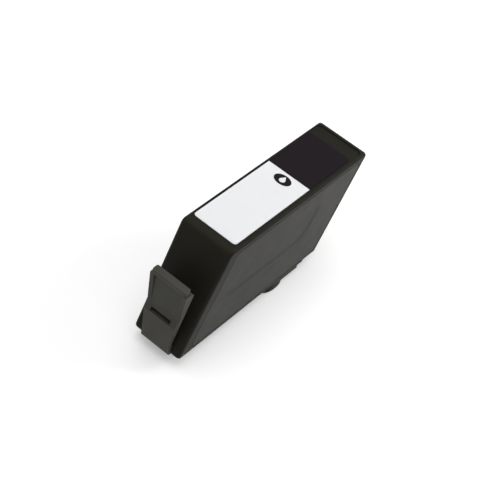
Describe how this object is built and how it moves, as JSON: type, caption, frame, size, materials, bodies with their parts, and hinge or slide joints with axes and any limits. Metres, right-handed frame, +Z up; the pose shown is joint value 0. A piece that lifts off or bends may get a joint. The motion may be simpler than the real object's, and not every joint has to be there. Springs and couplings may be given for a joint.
{
  "type": "inkjet ink cartridge",
  "caption": "Narrow slanted ink tank with a welded side cover, a top label, an ink outlet underneath and a sprung latch lever at the front.",
  "frame": {"origin": "centre of the bounding box, on the surface that the cartridge stands on", "axes": "+X across the narrow width, towards the side with the welded cover; +Y along the length, from the lever to the back; +Z up"},
  "size_m": [0.021, 0.0914, 0.0469],
  "materials": {
    "black_shell": "fine matt moulded",
    "black_cover": "fine matt moulded",
    "black_lever": "fine matt moulded",
    "white_label": "satin film label",
    "dark_print": "satin print",
    "clear_film": "glossy film",
    "white_membrane": "fine porous",
    "grey_foam": "open foam soaked with ink",
    "dark_foam": "dense foam soaked with ink",
    "felt": "felt soaked with ink",
    "steel_mesh": "fine woven mesh",
    "black_rubber": "smooth",
    "green_board": "solder mask",
    "gold_contacts": "plated",
    "black_resin": "glossy drop"
  },
  "bodies": {
    "cartridge": {"housing": "black_shell", "side_cover": "black_cover", "top_label": "white_label", "label_print": "dark_print", "vent_film": "clear_film", "vent_membrane": "white_membrane", "fill_plugs": "black_shell", "upper_foam": "grey_foam", "lower_foam": "dark_foam", "outlet_wick": "felt", "outlet_filter": "steel_mesh", "outlet_seal": "black_rubber", "chip_board": "green_board", "chip_contacts": "gold_contacts", "chip_resin": "black_resin"},
    "lever": {"latch_lever": "black_lever"}
  },
  "joints": [
    {"name": "lever_press", "type": "hinge", "parent": "cartridge", "child": "lever", "pos_m": [0, -0.04272, 0.006], "axis": [-1, 0, 0], "range_deg": [0, 10], "stiffness_Nm_per_rad": 0.4}
  ]
}
